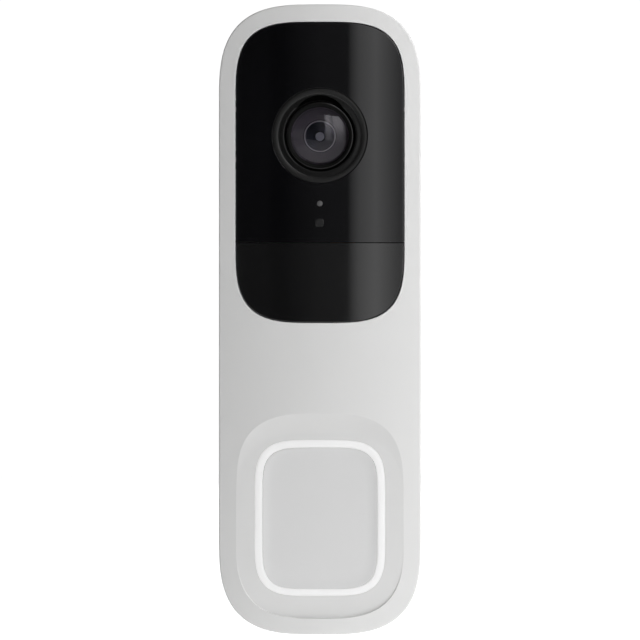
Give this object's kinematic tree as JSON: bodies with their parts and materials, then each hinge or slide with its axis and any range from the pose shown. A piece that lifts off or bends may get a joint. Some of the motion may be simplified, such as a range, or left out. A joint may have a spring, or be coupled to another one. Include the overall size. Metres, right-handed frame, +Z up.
{
  "type": "video doorbell",
  "caption": "Slim upright video doorbell: white rounded body, tall black window with a camera lens, recessed bell button in a light ring, on a wall plate.",
  "frame": {"origin": "middle of the wall plate's back on the wall plane, halfway between its two wall screws", "axes": "+X to the right as the visitor sees the unit, +Z up, and the front faces -Y; the wall is the plane Y = 0"},
  "size_m": [0.048, 0.026, 0.1494],
  "materials": {
    "plate": "moulded, fine texture",
    "shell_rear": "moulded, fine texture",
    "shell_front": "moulded, satin",
    "seal_rubber": "silicone",
    "screw_steel": "plated",
    "window_black": "polished",
    "motion_black": "polished, slightly milky",
    "bezel_black": "satin",
    "dark_rubber": "matte",
    "barrel_black": "anodised look, satin",
    "lens_glass": "coated, polished",
    "chip": "moulded",
    "board": "solder mask",
    "flex": "polyimide film",
    "led": "moulded",
    "guide_grey": "translucent",
    "sensor_grey": "smoked",
    "shield_metal": "tinned",
    "capacitor": "sleeved",
    "speaker_black": "moulded",
    "foam": "closed-cell foam",
    "battery": "film wrapped",
    "socket_cream": "moulded",
    "wire_red": "insulation",
    "button_white": "satin",
    "ring_white": "milky translucent",
    "frame_black": "moulded",
    "switch_black": "moulded",
    "plunger_cream": "moulded",
    "plunger_white": "moulded",
    "power_grey": "moulded",
    "terminal_dark": "moulded",
    "brass_screw": "plated"
  },
  "bodies": {
    "mount": {"mounting_plate": "plate"},
    "housing": {"rear_housing": "shell_rear", "front_cover": "shell_front", "perimeter_seal": "seal_rubber", "housing_screws": "screw_steel", "security_screw": "screw_steel", "camera_window": "window_black", "motion_lens": "motion_black", "lens_bezel": "bezel_black", "lens_seal": "dark_rubber", "lens_barrel": "barrel_black", "front_lens": "lens_glass", "inner_lens": "lens_glass", "aperture_stop": "barrel_black", "rear_lens": "lens_glass", "lens_holder": "barrel_black", "image_sensor": "chip", "camera_board": "board", "camera_screws": "screw_steel", "camera_flex": "flex", "infrared_board": "board", "infrared_leds": "led", "infrared_screws": "screw_steel", "status_light_guide": "guide_grey", "status_led": "led", "light_sensor_window": "sensor_grey", "light_sensor": "chip", "motion_sensor": "shield_metal", "main_board": "board", "board_screws": "screw_steel", "processor_shield": "shield_metal", "supply_capacitors": "capacitor", "wifi_antenna": "flex", "microphone": "shield_metal", "microphone_boot": "dark_rubber", "speaker": "speaker_black", "speaker_gasket": "foam", "battery_pack": "battery", "battery_tape": "foam", "battery_socket": "socket_cream", "battery_leads": "wire_red", "light_ring": "ring_white", "light_ring_gasket": "seal_rubber", "button_frame": "frame_black", "button_board": "board", "ring_leds": "led", "button_switch": "switch_black", "button_screws": "screw_steel", "tamper_switch": "switch_black", "power_switch": "switch_black", "usb_socket": "shield_metal", "terminal_block": "terminal_dark", "terminal_screws": "brass_screw"},
    "button": {"button_cap": "button_white"},
    "switch": {"switch_plunger": "plunger_cream"},
    "tamper": {"tamper_plunger": "plunger_white"},
    "power": {"power_button": "power_grey"},
    "plug": {"usb_plug": "dark_rubber"}
  },
  "joints": [
    {"name": "unit_lift", "type": "slide", "parent": "mount", "child": "housing", "axis": [0, 0, 1], "range_m": [0, 0.006]},
    {"name": "button_press", "type": "slide", "parent": "housing", "child": "button", "axis": [0, 1, 0], "range_m": [0, 0.0006], "stiffness_N_per_m": 3000},
    {"name": "switch_press", "type": "slide", "parent": "housing", "child": "switch", "axis": [0, 1, 0], "range_m": [0, 0.0006]},
    {"name": "tamper_release", "type": "slide", "parent": "housing", "child": "tamper", "axis": [0, 1, 0], "range_m": [0, 0.0015]},
    {"name": "power_press", "type": "slide", "parent": "housing", "child": "power", "axis": [0, -1, 0], "range_m": [0, 0.0004], "stiffness_N_per_m": 3000},
    {"name": "plug_pull", "type": "slide", "parent": "housing", "child": "plug", "axis": [0, 1, 0], "range_m": [0, 0.0025]}
  ],
  "couplings": [
    {"joint": "switch_press", "follows": "button_press", "ratio": 1},
    {"joint": "tamper_release", "follows": "unit_lift", "ratio": 0.25}
  ]
}
